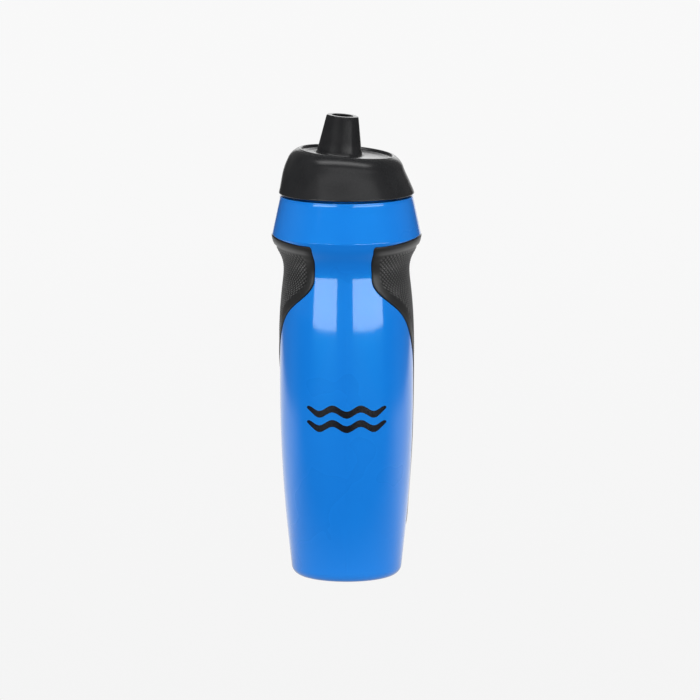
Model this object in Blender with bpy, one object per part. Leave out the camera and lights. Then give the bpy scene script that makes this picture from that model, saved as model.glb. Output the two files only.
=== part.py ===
"""Sports squeeze bottle with a rubber grip, a screw cap and a self-sealing spout valve.

Frame: metres, +Z up. The bottle's axis is the Z axis and it stands on z = 0. Its front faces -Y,
the grip wraps its back (+Y), and the top of the cap slopes down towards +X.
"""
from math import cos, hypot, pi, radians, sin

import bmesh
import bpy
import numpy as np
from mathutils import Matrix, Vector

MM = 0.001

# ---------------------------------------------------------------- driving dimensions
GAP = 0.3 * MM               # air between two pieces that touch on the real bottle
SEGMENTS = 40                # sides of the large turned pieces
SMALL_SEGMENTS = 24          # sides of the valve's turned pieces

# Bottle wall: (height, radius) stations of its outer surface above the base corner.
WALL_STATIONS = [
    (4.48 * MM, 28.05 * MM),
    (17.0 * MM, 29.45 * MM),
    (38.0 * MM, 31.50 * MM),
    (60.0 * MM, 32.95 * MM),
    (82.0 * MM, 33.75 * MM),
    (103.0 * MM, 33.95 * MM),
    (125.0 * MM, 33.75 * MM),
    (141.0 * MM, 33.00 * MM),
    (151.0 * MM, 31.95 * MM),
    (157.5 * MM, 31.45 * MM),
    (162.0 * MM, 32.00 * MM),
    (167.0 * MM, 34.20 * MM),
    (171.0 * MM, 36.50 * MM),
    (173.2 * MM, 37.30 * MM),
    (174.2 * MM, 37.60 * MM),
    (175.0 * MM, 37.72 * MM),
    (175.8 * MM, 37.62 * MM),
    (178.0 * MM, 37.19 * MM),
    (183.0 * MM, 36.13 * MM),
    (193.5 * MM, 33.85 * MM),
]
WALL_THICKNESS = 1.9 * MM
BASE_CORNER = 5.0 * MM       # radius where the wall rolls under
STANDING_RING = (20.3 * MM, 23.08 * MM)
PUSH_UP = 4.2 * MM           # height of the hollow under the base
FLOOR = 1.6 * MM             # thickness of the base

# Neck and its outside thread.
SHELF = 194.9 * MM           # flat between the shoulder's rolled edge and the neck
NECK_RADIUS = 25.0 * MM
NECK_WALL = 2.2 * MM
NECK_TOP = 207.8 * MM

# Thread, the same on the neck and inside the cap: right-handed, one start.
LEAD = 5.0 * MM
THREAD_HEIGHT = 1.3 * MM
THREAD_ROOT = 2.2 * MM
THREAD_CREST = 1.2 * MM
THREAD_START = 199.2 * MM    # height of the neck thread's centre where it begins
NECK_TURNS = (0.0, 1.1)
CAP_TURNS = (0.275, 1.1)
CAP_THREAD_DROP = 1.9 * MM   # the cap's thread hooks under the neck's, this far below it

# Grip panel: (height, angle from the front) stations of its front edge.
EDGE_STATIONS = [
    (20.0 * MM, 108.0),
    (24.0 * MM, 100.0),
    (34.0 * MM, 97.4),
    (64.0 * MM, 97.2),
    (92.0 * MM, 96.2),
    (107.0 * MM, 92.0),
    (118.0 * MM, 82.5),
    (128.5 * MM, 72.0),
    (139.0 * MM, 56.0),
    (148.0 * MM, 35.0),
    (153.0 * MM, 28.6),
    (159.0 * MM, 27.5),
    (166.0 * MM, 26.0),
    (170.5 * MM, 25.8),
    (172.2 * MM, 25.9),
    (172.9 * MM, 26.8),
]
GRIP_TOP = 172.9 * MM
GRIP_BOTTOM = 20.0 * MM
GRIP_TOP_RISE = 2.3 * MM     # the top edge climbs this much from the front to the sides
GRIP_BOTTOM_SAG = 6.0 * MM   # the bottom edge hangs this much lower at the back
GRIP_RECESS = 0.9 * MM       # depth of the pocket in the bottle's wall
GRIP_PROUD = 0.6 * MM        # how far the rubber stands out of the wall
GRIP_ROWS = 21
GRIP_COLUMNS = 24

# Cap shell.
CAP_BOTTOM = 196.0 * MM
CAP_STATIONS = [
    (196.6 * MM, 34.25 * MM),
    (201.0 * MM, 33.00 * MM),
    (207.0 * MM, 31.20 * MM),
    (211.2 * MM, 29.50 * MM),
]
SHOULDER_RADIUS = 9.9 * MM
SHOULDER_ANGLES = (18, 64)   # from the outward direction, where the shoulder's arc begins and ends
RIM = (23.5 * MM, 217.3 * MM)
DISH_EDGE = (22.4 * MM, 215.9 * MM)
DISH_FLOOR = 215.4 * MM
SHELL = 1.5 * MM
CAP_TILT = radians(5.0)      # slope of the cap's top and lean of the spout, towards +X
TILT_FULL = 213.0 * MM       # the cap turns gradually from level at its bottom to this height
TILT_PIVOT = 215.8 * MM
SPOUT_OFFSET = -3.7 * MM     # the spout stands off centre, on the cap's high side
OFFSET_INNER = 13.5 * MM     # the offset is whole inside this radius
OFFSET_OUTER = 22.0 * MM     # and nothing outside this one

# Spout, in heights before the cap's top is tilted.
SPOUT_FILLET = 2.2 * MM
SPOUT_BASE = (11.2 * MM, 217.5 * MM)
SPOUT_TIP = (8.2 * MM, 234.7 * MM)
SPOUT_EDGE = 0.9 * MM        # rounding of the tip's outer edge
SPOUT_TOP = 235.4 * MM
CHIMNEY_BORE = 7.4 * MM      # bore of the shell around the core's chimney
VALVE_BORE = 5.3 * MM        # bore of the tip, where the valve insert slides in
VALVE_SEAT = 225.3 * MM      # step between those two bores

# Threaded core inside the shell.
CORE_BOTTOM = 196.9 * MM
CORE_WALL = 26.6 * MM        # inside radius where the thread stands
CORE_SKIN = 1.4 * MM
PLATE_BOTTOM = 209.6 * MM
PLATE_TOP = 211.0 * MM
GASKET_POCKET = 25.3 * MM
CHIMNEY_RADIUS = 7.1 * MM
FLOW_RADIUS = 4.2 * MM

# Valve insert, from its seat up.
INSERT_RADIUS = 5.0 * MM
INSERT_BORE = 3.3 * MM
CARRIER_HEIGHT = 4.2 * MM
GROOVE = (1.2 * MM, 2.6 * MM, 4.2 * MM)   # bottom, top, floor radius
O_RING = (4.75 * MM, 0.42 * MM)           # radius of its circle, radius of its section
DIAPHRAGM = 0.9 * MM
SLIT_SQUARE = 2.15 * MM      # half the side of the square that the four petals close
SLIT = 0.12 * MM             # width of the slits between the petals
PETAL_SWING = radians(60)    # a petal's travel; its underside is cut back so that it clears the others
RETAINER_HEIGHT = 2.9 * MM
RETAINER_MOUTH = 4.3 * MM

MATERIALS = {
    "blue_polyethylene": ((0.011, 0.205, 0.745, 1.0), 0.22),
    "grip_rubber": ((0.012, 0.012, 0.013, 1.0), 0.62),
    "cap_plastic": ((0.022, 0.022, 0.023, 1.0), 0.45),
    "core_plastic": ((0.030, 0.030, 0.032, 1.0), 0.40),
    "seal_silicone": ((0.55, 0.56, 0.56, 1.0), 0.50),
    "valve_silicone": ((0.035, 0.036, 0.038, 1.0), 0.45),
}


# ---------------------------------------------------------------- curves
def smooth_curve(stations):
    """Natural cubic spline through (x, value) stations, returned as a function of x."""
    xs = np.array([station[0] for station in stations])
    ys = np.array([station[1] for station in stations])
    steps = np.diff(xs)
    slopes = np.diff(ys) / steps
    count = len(xs)
    matrix = np.eye(count)
    right = np.zeros(count)
    for i in range(1, count - 1):
        matrix[i, i - 1] = steps[i - 1]
        matrix[i, i] = 2 * (steps[i - 1] + steps[i])
        matrix[i, i + 1] = steps[i]
        right[i] = 6 * (slopes[i] - slopes[i - 1])
    bends = np.linalg.solve(matrix, right)

    def value(x):
        x = min(max(x, xs[0]), xs[-1])
        i = min(int(np.searchsorted(xs, x, side="right")) - 1, count - 2)
        before = x - xs[i]
        after = xs[i + 1] - x
        step = steps[i]
        cubic = (bends[i] * after ** 3 + bends[i + 1] * before ** 3) / (6 * step)
        linear_low = (ys[i] / step - bends[i] * step / 6) * after
        linear_high = (ys[i + 1] / step - bends[i + 1] * step / 6) * before
        return float(cubic + linear_low + linear_high)

    return value


wall_radius = smooth_curve(WALL_STATIONS)
edge_angle = smooth_curve(EDGE_STATIONS)
cap_radius = smooth_curve(CAP_STATIONS)


def spread(low, high, count):
    """Evenly spaced values from low to high, both included."""
    return [low + (high - low) * i / (count - 1) for i in range(count)]


def ease(value):
    """Smooth step: 0 at or below 0, 1 at or above 1."""
    value = min(max(value, 0.0), 1.0)
    return value * value * (3 - 2 * value)


def arc(centre, radii, start, end, count):
    """Points of an elliptical arc about centre, with angles in degrees from +r towards +z."""
    points = []
    for degrees in spread(start, end, count):
        angle = radians(degrees)
        points.append((centre[0] + radii[0] * cos(angle), centre[1] + radii[1] * sin(angle)))
    return points


# ---------------------------------------------------------------- making objects
def material(name):
    """Principled material with one of the part's colours."""
    found = bpy.data.materials.get(name)
    if found:
        return found
    colour, roughness = MATERIALS[name]
    made = bpy.data.materials.new(name)
    made.use_nodes = True
    shader = made.node_tree.nodes["Principled BSDF"]
    shader.inputs["Base Color"].default_value = colour
    shader.inputs["Roughness"].default_value = roughness
    shader.inputs["Metallic"].default_value = 0.0
    return made


def add_object(name, bm, material_name, sharp_degrees=32):
    """Turn a bmesh into a shaded object in the scene."""
    bmesh.ops.recalc_face_normals(bm, faces=bm.faces)
    mesh = bpy.data.meshes.new(name)
    bm.to_mesh(mesh)
    bm.free()
    mesh.materials.append(material(material_name))
    mesh.shade_smooth()
    mesh.set_sharp_from_angle(angle=radians(sharp_degrees))
    thing = bpy.data.objects.new(name, mesh)
    bpy.context.scene.collection.objects.link(thing)
    return thing


def turned(outline, segments, closed=False):
    """Spin an outline of (radius, height) points about Z, joining its ends if it is closed."""
    bm = bmesh.new()
    verts = [bm.verts.new((radius, 0.0, height)) for radius, height in outline]
    edges = [bm.edges.new(pair) for pair in zip(verts, verts[1:])]
    if closed:
        edges.append(bm.edges.new((verts[-1], verts[0])))
    bmesh.ops.spin(
        bm,
        geom=verts + edges,
        cent=(0, 0, 0),
        axis=(0, 0, 1),
        angle=2 * pi,
        steps=segments,
        use_merge=True,
    )
    bmesh.ops.remove_doubles(bm, verts=bm.verts, dist=0.001 * MM)
    return bm


def combine(target, tool, operation):
    """Join or cut the target with a tool, which is then a guide and not a piece."""
    modifier = target.modifiers.new(tool.name, "BOOLEAN")
    modifier.operation = operation
    modifier.solver = "EXACT"
    modifier.object = tool
    tool.hide_render = True
    tool.display_type = "WIRE"


def follow(child, parent):
    """Parent an object that was made in world coordinates, without moving it."""
    child.parent = parent
    child.matrix_parent_inverse = parent.matrix_basis.inverted()


def axis_empty(name, place):
    """Empty on a joint's axis, which carries the pieces that move there."""
    empty = bpy.data.objects.new(name, None)
    empty.location = place
    bpy.context.scene.collection.objects.link(empty)
    return empty


# ---------------------------------------------------------------- thread
def thread_ridge(name, wall, turns, drop, outward, material_name):
    """Helical ridge on a wall of the given radius, sunk into the wall at both ends."""
    side = 1 if outward else -1
    rooted = 0.4 * MM
    run_out = 0.06
    steps = round((turns[1] - turns[0]) * SEGMENTS)
    bm = bmesh.new()
    rings = []
    for turn in spread(turns[0], turns[1], steps + 1):
        nearest_end = min(turn - turns[0], turns[1] - turn)
        grown = 1.12 * ease(nearest_end / run_out) - 0.12
        centre = THREAD_START - drop + LEAD * turn
        crest = wall + side * THREAD_HEIGHT * grown
        root = wall - side * rooted
        half_crest = THREAD_CREST / 2
        half_root = THREAD_ROOT / 2 + (THREAD_ROOT - THREAD_CREST) / 2 * rooted / THREAD_HEIGHT
        corners = [
            (root, centre - half_root),
            (crest, centre - half_crest),
            (crest, centre + half_crest),
            (root, centre + half_root),
        ]
        angle = 2 * pi * turn
        ring = [bm.verts.new((r * cos(angle), r * sin(angle), z)) for r, z in corners]
        rings.append(ring)
    for here, there in zip(rings, rings[1:]):
        for i in range(4):
            j = (i + 1) % 4
            bm.faces.new((here[i], here[j], there[j], there[i]))
    bm.faces.new(rings[0])
    bm.faces.new(rings[-1])
    return add_object(name, bm, material_name)


# ---------------------------------------------------------------- grip panel
def grip_point(height, across, grow, radius_offset):
    """Point of the grip's sheet: across runs from -1 to 1 round the back between its front edges."""
    edge_height = min(max(height, GRIP_BOTTOM), GRIP_TOP)
    slope = radians(edge_angle(edge_height + MM / 2) - edge_angle(edge_height - MM / 2)) / MM
    sideways = grow * hypot(1 / wall_radius(edge_height), slope)
    half_span = pi - radians(edge_angle(edge_height)) + sideways
    rise = 1 - ease((abs(across) - 0.62) / 0.38)
    near_top = ease((height - 155 * MM) / (GRIP_TOP - 155 * MM))
    near_bottom = ease((48 * MM - height) / (48 * MM - GRIP_BOTTOM))
    lifted = height + GRIP_TOP_RISE * rise * near_top
    lowered = lifted - GRIP_BOTTOM_SAG * near_bottom * cos(across * pi / 2)
    radius = wall_radius(lowered) + radius_offset
    angle = pi / 2 + across * half_span
    return Vector((radius * cos(angle), radius * sin(angle), lowered))


def split_quad(bm, upper, lower, j):
    """Two triangles between two rows, split the same way in every sheet and mirrored at the back."""
    a, b, c, d = upper[j], upper[j + 1], lower[j + 1], lower[j]
    if j < GRIP_COLUMNS / 2:
        bm.faces.new((a, b, d))
        bm.faces.new((b, c, d))
    else:
        bm.faces.new((a, b, c))
        bm.faces.new((a, c, d))


def grip_sheet(name, inner, outer, grow, material_name):
    """Closed panel between two offsets from the bottle's wall, its edges pushed out by grow."""
    heights = [GRIP_TOP - (GRIP_TOP - GRIP_BOTTOM) * step ** 1.25 for step in spread(0, 1, GRIP_ROWS)]
    heights[0] += grow
    heights[-1] -= grow
    bm = bmesh.new()
    layers = []
    for offset in (inner, outer):
        rows = []
        for height in heights:
            row = [bm.verts.new(grip_point(height, across, grow, offset))
                   for across in spread(-1, 1, GRIP_COLUMNS + 1)]
            rows.append(row)
        layers.append(rows)
    low, high = layers
    for i in range(GRIP_ROWS - 1):
        for j in range(GRIP_COLUMNS):
            for rows in layers:
                split_quad(bm, rows[i], rows[i + 1], j)
        for j in (0, GRIP_COLUMNS):
            bm.faces.new((low[i][j], low[i + 1][j], high[i + 1][j], high[i][j]))
    for i in (0, GRIP_ROWS - 1):
        for j in range(GRIP_COLUMNS):
            bm.faces.new((low[i][j], low[i][j + 1], high[i][j + 1], high[i][j]))
    return add_object(name, bm, material_name)


# ---------------------------------------------------------------- bottle
def bottle_outline():
    """Outline of the bottle from the middle of its underside, up the outside, and back down inside."""
    ring_in, ring_out = STANDING_RING
    underside = [(0.0, PUSH_UP), (10 * MM, PUSH_UP * 0.93), (17 * MM, PUSH_UP * 0.6), (ring_in, 0.0)]
    corner = arc((ring_out, BASE_CORNER), (BASE_CORNER, BASE_CORNER), -90, -6, 5)
    low = WALL_STATIONS[0][0]
    high = WALL_STATIONS[-1][0]
    belly = [(wall_radius(z), z) for z in spread(low, 145 * MM, 11)[1:]]
    waist_heights = spread(145 * MM, 172 * MM, 10)[1:] + spread(173.2 * MM, 176.8 * MM, 6) + [178 * MM]
    waist = [(wall_radius(z), z) for z in waist_heights]
    shoulder = [(wall_radius(z), z) for z in spread(178 * MM, high, 4)[1:]]
    edge_radius = SHELF - high
    roll = arc((wall_radius(high) - edge_radius, high), (edge_radius, edge_radius), 25, 90, 3)
    neck = [
        (NECK_RADIUS + 0.8 * MM, SHELF),
        (NECK_RADIUS, SHELF + 0.8 * MM),
        (NECK_RADIUS, NECK_TOP - 0.5 * MM),
        (NECK_RADIUS - 0.5 * MM, NECK_TOP),
        (NECK_RADIUS - NECK_WALL + 0.5 * MM, NECK_TOP),
        (NECK_RADIUS - NECK_WALL, NECK_TOP - 0.5 * MM),
        (NECK_RADIUS - NECK_WALL, SHELF - 1.0 * MM),
        (NECK_RADIUS + 0.6 * MM, SHELF - WALL_THICKNESS - 0.6 * MM),
    ]
    inside_heights = spread(190 * MM, 148 * MM, 10) + spread(148 * MM, 9 * MM, 7)[1:]
    inside = [(wall_radius(z) - WALL_THICKNESS, z) for z in inside_heights]
    floor = [
        (24.0 * MM, 3.4 * MM),
        (21.5 * MM, FLOOR + 0.4 * MM),
        (18.5 * MM, PUSH_UP * 0.6 + FLOOR),
        (10.0 * MM, PUSH_UP * 0.93 + FLOOR),
        (0.0, PUSH_UP + FLOOR),
    ]
    return underside + corner + belly + waist + shoulder + roll + neck + inside + floor


def make_bottle():
    """Blow-moulded bottle with its threaded neck and the pocket that the grip lies in."""
    body = add_object("bottle_body", turned(bottle_outline(), SEGMENTS), "blue_polyethylene")
    pocket = grip_sheet("grip_pocket_cutter", -GRIP_RECESS, 3 * MM, GAP, "blue_polyethylene")
    thread = thread_ridge("neck_thread_tool", NECK_RADIUS, NECK_TURNS, 0.0, True, "blue_polyethylene")
    combine(body, pocket, "DIFFERENCE")
    combine(body, thread, "UNION")
    return body


def make_grip():
    """Rubber panel that lies in the bottle's pocket and stands a little out of its wall."""
    return grip_sheet("grip_panel", GAP - GRIP_RECESS, GRIP_PROUD, 0.0, "grip_rubber")


# ---------------------------------------------------------------- cap
def tilt_matrix(angle):
    """Rotation towards +X about the line where the cap's top is pivoted."""
    pivot = Matrix.Translation((0, 0, TILT_PIVOT))
    return pivot @ Matrix.Rotation(angle, 4, "Y") @ pivot.inverted()


def tilt_cap_top(bm):
    """Move the spout off centre, then tilt the cap gradually from its level bottom upwards."""
    for vert in bm.verts:
        radius = hypot(vert.co.x, vert.co.y)
        if vert.co.z > PLATE_TOP:
            inwards = (OFFSET_OUTER - radius) / (OFFSET_OUTER - OFFSET_INNER)
            vert.co.x += SPOUT_OFFSET * ease(inwards)
        share = ease((vert.co.z - CAP_BOTTOM) / (TILT_FULL - CAP_BOTTOM))
        vert.co = tilt_matrix(CAP_TILT * share) @ vert.co


SPOUT_FRAME = tilt_matrix(CAP_TILT) @ Matrix.Translation((SPOUT_OFFSET, 0, 0))


def spout_turned(outline, segments=SMALL_SEGMENTS, closed=True):
    """Turned shape about the spout's leaning axis, with heights as before the tilt."""
    bm = turned(outline, segments, closed)
    bm.transform(SPOUT_FRAME)
    return bm


def cap_shell_outline():
    """Closed outline of the shell: outside from the lip to the tip, then the bore and the inside."""
    low, high = CAP_STATIONS[0][0], CAP_STATIONS[-1][0]
    side = [(cap_radius(z), z) for z in spread(low, high, 5)]
    start = radians(SHOULDER_ANGLES[0])
    centre = (
        cap_radius(high) - SHOULDER_RADIUS * cos(start),
        high - SHOULDER_RADIUS * sin(start),
    )
    shoulder = arc(centre, (SHOULDER_RADIUS, SHOULDER_RADIUS), *SHOULDER_ANGLES, 5)[1:]
    rim = [(RIM[0] + 0.4 * MM, RIM[1]), (RIM[0], RIM[1] - 0.1 * MM), DISH_EDGE]
    fillet_centre = (SPOUT_BASE[0] + SPOUT_FILLET, DISH_FLOOR + SPOUT_FILLET)
    fillet = arc(fillet_centre, (SPOUT_FILLET, SPOUT_FILLET), 270, 188, 4)
    edge_centre = (SPOUT_TIP[0] - SPOUT_EDGE, SPOUT_TOP - SPOUT_EDGE)
    tip = arc(edge_centre, (SPOUT_EDGE, SPOUT_EDGE), 10, 90, 3)
    bore = [
        (VALVE_BORE + 0.4 * MM, SPOUT_TOP),
        (VALVE_BORE, SPOUT_TOP - 0.4 * MM),
        (VALVE_BORE, VALVE_SEAT),
        (CHIMNEY_BORE, VALVE_SEAT),
        (CHIMNEY_BORE, DISH_FLOOR - SHELL),
    ]
    inner_radius = SHOULDER_RADIUS - SHELL
    underside = [(OFFSET_OUTER, DISH_FLOOR - SHELL)]
    underside += arc(centre, (inner_radius, inner_radius), 52, SHOULDER_ANGLES[0], 3)
    inside = [(cap_radius(z) - SHELL, z - 0.4 * MM) for z in spread(high, low + 1.0 * MM, 5)[1:]]
    lip = [
        (cap_radius(low) - SHELL, CAP_BOTTOM + 0.3 * MM),
        (cap_radius(low) - SHELL + 0.4 * MM, CAP_BOTTOM),
        (cap_radius(low) - 0.3 * MM, CAP_BOTTOM),
    ]
    return side + shoulder + rim + fillet + tip + bore + underside + inside + lip


def make_cap_shell():
    """Outer moulding of the cap with its dished, sloping top and its leaning spout."""
    bm = turned(cap_shell_outline(), SEGMENTS, closed=True)
    tilt_cap_top(bm)
    return add_object("cap_shell", bm, "cap_plastic")


def make_cap_core():
    """Threaded inner moulding: a skirt, a plate that holds the gasket, and the spout's chimney."""
    outside = CORE_WALL + CORE_SKIN
    outline = [
        (0.0, PLATE_TOP),
        (25.2 * MM, PLATE_TOP),
        (26.4 * MM, PLATE_TOP - 1.0 * MM),
        (outside - 0.3 * MM, PLATE_TOP - 3.8 * MM),
        (outside, PLATE_TOP - 6.2 * MM),
        (outside, CORE_BOTTOM),
        (CORE_WALL, CORE_BOTTOM),
        (CORE_WALL, NECK_TOP - 1.1 * MM),
        (GASKET_POCKET, NECK_TOP - 0.1 * MM),
        (GASKET_POCKET, PLATE_BOTTOM),
        (0.0, PLATE_BOTTOM),
    ]
    core = add_object("cap_core", turned(outline, SEGMENTS), "core_plastic")
    thread = thread_ridge("cap_thread_tool", CORE_WALL, CAP_TURNS, CAP_THREAD_DROP, False, "core_plastic")
    chimney_outline = [
        (0.0, PLATE_BOTTOM + 0.6 * MM),
        (CHIMNEY_RADIUS, PLATE_BOTTOM + 0.6 * MM),
        (CHIMNEY_RADIUS, VALVE_SEAT - GAP),
        (0.0, VALVE_SEAT - GAP),
    ]
    flow_outline = [
        (0.0, PLATE_BOTTOM - 3 * MM),
        (FLOW_RADIUS, PLATE_BOTTOM - 3 * MM),
        (FLOW_RADIUS, VALVE_SEAT + 3 * MM),
        (0.0, VALVE_SEAT + 3 * MM),
    ]
    chimney_shape = spout_turned(chimney_outline, closed=False)
    flow_shape = spout_turned(flow_outline, closed=False)
    chimney = add_object("chimney_tool", chimney_shape, "core_plastic")
    flow = add_object("flow_cutter", flow_shape, "core_plastic")
    combine(core, thread, "UNION")
    combine(core, chimney, "UNION")
    combine(core, flow, "DIFFERENCE")
    return core


def make_gasket():
    """Silicone ring between the neck's top and the core's plate."""
    inner = NECK_RADIUS - NECK_WALL
    outer = GASKET_POCKET - GAP
    low = NECK_TOP + GAP
    high = PLATE_BOTTOM - GAP
    outline = [(inner, low), (outer, low), (outer, high), (inner, high)]
    return add_object("cap_gasket", turned(outline, SEGMENTS, closed=True), "seal_silicone")


# ---------------------------------------------------------------- valve insert
def make_carrier():
    """Rigid tube that carries the diaphragm, with a groove for the O-ring."""
    low = VALVE_SEAT
    high = low + CARRIER_HEIGHT
    groove_low, groove_high, groove_floor = GROOVE
    outline = [
        (INSERT_BORE, low),
        (INSERT_RADIUS, low),
        (INSERT_RADIUS, low + groove_low),
        (groove_floor, low + groove_low),
        (groove_floor, low + groove_high),
        (INSERT_RADIUS, low + groove_high),
        (INSERT_RADIUS, high),
        (INSERT_BORE, high),
    ]
    return add_object("valve_carrier", spout_turned(outline), "core_plastic")


def make_o_ring():
    """O-ring in the carrier's groove."""
    middle = VALVE_SEAT + (GROOVE[0] + GROOVE[1]) / 2
    outline = arc((O_RING[0], middle), (O_RING[1], O_RING[1]), 0, 315, 8)
    return add_object("carrier_o_ring", spout_turned(outline), "seal_silicone", 180)


def make_diaphragm():
    """Silicone disc of the self-sealing valve, with the square opening that the petals close."""
    low = VALVE_SEAT + CARRIER_HEIGHT + GAP
    high = low + DIAPHRAGM
    disc_outline = [(0.0, low), (INSERT_RADIUS, low), (INSERT_RADIUS, high), (0.0, high)]
    disc = add_object("drink_valve", spout_turned(disc_outline, closed=False), "valve_silicone")
    bm = bmesh.new()
    bmesh.ops.create_cube(bm, size=1.0)
    side = 2 * (SLIT_SQUARE + SLIT)
    bmesh.ops.scale(bm, vec=(side, side, 3 * DIAPHRAGM), verts=bm.verts)
    bmesh.ops.translate(bm, vec=(0, 0, (low + high) / 2), verts=bm.verts)
    bm.transform(SPOUT_FRAME)
    opening = add_object("slit_square_cutter", bm, "valve_silicone")
    combine(disc, opening, "DIFFERENCE")
    return disc


def make_petal(index, parent):
    """One triangular flap of the valve, hinged on its outer top edge and narrower underneath."""
    low = VALVE_SEAT + CARRIER_HEIGHT + GAP
    high = low + DIAPHRAGM
    half = SLIT_SQUARE - SLIT
    blunt = 0.15 * MM
    swung_in = DIAPHRAGM * sin(PETAL_SWING)
    bm = bmesh.new()
    layers = []
    for height, inset in ((low, swung_in), (high, 0.0)):
        tip = SLIT + blunt + inset
        corners = [
            (SLIT_SQUARE, inset - half),
            (SLIT_SQUARE, half - inset),
            (tip, blunt),
            (tip, -blunt),
        ]
        layers.append([bm.verts.new((x, y, height)) for x, y in corners])
    lower, upper = layers
    bm.faces.new(lower)
    bm.faces.new(upper)
    for i in range(4):
        j = (i + 1) % 4
        bm.faces.new((lower[i], lower[j], upper[j], upper[i]))
    quarter = Matrix.Rotation(index * pi / 2, 4, "Z")
    bm.transform(SPOUT_FRAME @ quarter)
    petal = add_object(f"valve_petal_{index + 1}", bm, "valve_silicone")
    hinge_place = SPOUT_FRAME @ quarter @ Vector((SLIT_SQUARE, 0, high))
    hinge = axis_empty(f"petal_{index + 1}_axis", hinge_place)
    follow(hinge, parent)
    bpy.context.view_layer.update()
    petal.parent = hinge
    petal.matrix_parent_inverse = Matrix.Translation(-hinge_place)
    return petal


def make_retainer():
    """Ring that holds the diaphragm down in the tip, with a flared mouth."""
    low = VALVE_SEAT + CARRIER_HEIGHT + DIAPHRAGM + 2 * GAP
    high = low + RETAINER_HEIGHT
    outline = [
        (INSERT_BORE, low),
        (INSERT_RADIUS, low),
        (INSERT_RADIUS, high),
        (RETAINER_MOUTH, high),
        (INSERT_BORE, high - 1.2 * MM),
    ]
    return add_object("valve_retainer", spout_turned(outline), "core_plastic")


def main():
    """Clear the scene and build the bottle, its cap and its valve."""
    for thing in list(bpy.data.objects):
        bpy.data.objects.remove(thing)
    make_bottle()
    make_grip()
    cap_axis = axis_empty("cap_axis", (0, 0, CAP_BOTTOM))
    valve_axis = axis_empty("valve_axis", SPOUT_FRAME @ Vector((0, 0, VALVE_SEAT)))
    bpy.context.view_layer.update()
    for piece in (make_cap_shell(), make_cap_core(), make_gasket(), valve_axis):
        follow(piece, cap_axis)
    bpy.context.view_layer.update()
    for piece in (make_carrier(), make_o_ring(), make_diaphragm(), make_retainer()):
        follow(piece, valve_axis)
    for index in range(4):
        make_petal(index, valve_axis)


main()
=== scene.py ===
"""Looks of the sports squeeze bottle: fine meshes, materials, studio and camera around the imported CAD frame.

Frame: metres, +Z up, the bottle stands on z = 0 and faces -Y, and the cap's top slopes down towards +X.
Angles round the bottle are counted from its front, positive towards +X.
"""
from math import atan2, cos, exp, hypot, pi, radians, sin, sqrt, tan

import bpy
import numpy as np
from mathutils import Matrix, Vector


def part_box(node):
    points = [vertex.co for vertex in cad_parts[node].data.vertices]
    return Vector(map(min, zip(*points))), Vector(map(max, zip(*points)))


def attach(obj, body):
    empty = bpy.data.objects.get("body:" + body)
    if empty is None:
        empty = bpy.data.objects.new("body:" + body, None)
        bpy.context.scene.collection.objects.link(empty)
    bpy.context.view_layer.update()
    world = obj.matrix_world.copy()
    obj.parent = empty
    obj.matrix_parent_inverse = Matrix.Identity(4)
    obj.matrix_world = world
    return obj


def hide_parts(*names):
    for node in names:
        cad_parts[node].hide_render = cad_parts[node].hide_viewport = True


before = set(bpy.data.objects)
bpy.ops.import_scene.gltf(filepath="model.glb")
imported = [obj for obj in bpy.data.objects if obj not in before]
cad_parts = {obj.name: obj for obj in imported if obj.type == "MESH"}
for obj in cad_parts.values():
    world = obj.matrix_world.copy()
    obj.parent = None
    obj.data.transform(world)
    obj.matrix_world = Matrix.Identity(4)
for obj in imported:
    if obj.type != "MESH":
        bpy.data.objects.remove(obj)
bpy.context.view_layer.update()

MM = 0.001

# ---------------------------------------------------------------- sizes from the frame
NECK_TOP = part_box("bottle_body")[1].z
CAP_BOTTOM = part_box("cap_shell")[0].z
CORE_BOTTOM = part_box("cap_core")[0].z
CORE_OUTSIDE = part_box("cap_core")[1].x
GASKET_LOW, GASKET_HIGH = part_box("cap_gasket")

# Bottle, in heights above its foot and radii.
BASE_CORNER = 5.0 * MM
PUSH_UP = 4.2 * MM
HOLLOW = [(0, 1.0), (5, 0.98), (10, 0.93), (14, 0.8), (17, 0.6), (19, 0.28)]   # mm out, share of PUSH_UP
STANDING_RING = 20.3 * MM
FLOOR = 1.6 * MM
WALL_THICKNESS = 1.9 * MM
WALL_LOW = 4.48 * MM
WALL_HIGH = 193.5 * MM
CREST_END = 178 * MM
SHOULDER_TOP = 33.85 * MM
CREST = (174.9 * MM, 37.81 * MM)    # height and radius of the crisp edge between waist and shoulder
CREST_REACH = 0.8 * MM              # the wall's stations nearer the crest than this are left out
RIM_FACE = 0.6 * MM                 # upper part of the upright rim, which starts at WALL_HIGH
RIM_ROLL = 0.3 * MM
SHELF = 194.9 * MM
NECK_RADIUS = 25.0 * MM
NECK_WALL = 2.2 * MM
MOUTH_ROUND = 0.5 * MM
NECK_FILLET = 0.8 * MM
SEAM = [(0.0, 0.06 * MM), (0.1 * MM, 0.055 * MM), (0.4 * MM, 0.0), (0.7 * MM, 0.0)]
SEAM_ANGLE = radians(3.5)    # the mould's parting line sits a little to the right of the front
SEAM_TOP = 150 * MM

# Thread on the neck and in the cap.
LEAD = 5.0 * MM
THREAD_HEIGHT = 1.3 * MM
THREAD_ROOT = 2.2 * MM
THREAD_CREST = 1.2 * MM
THREAD_START = 199.2 * MM
NECK_TURNS = (0.0, 1.1)
CAP_TURNS = (0.275, 1.1)
CAP_THREAD_DROP = 1.9 * MM

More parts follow.
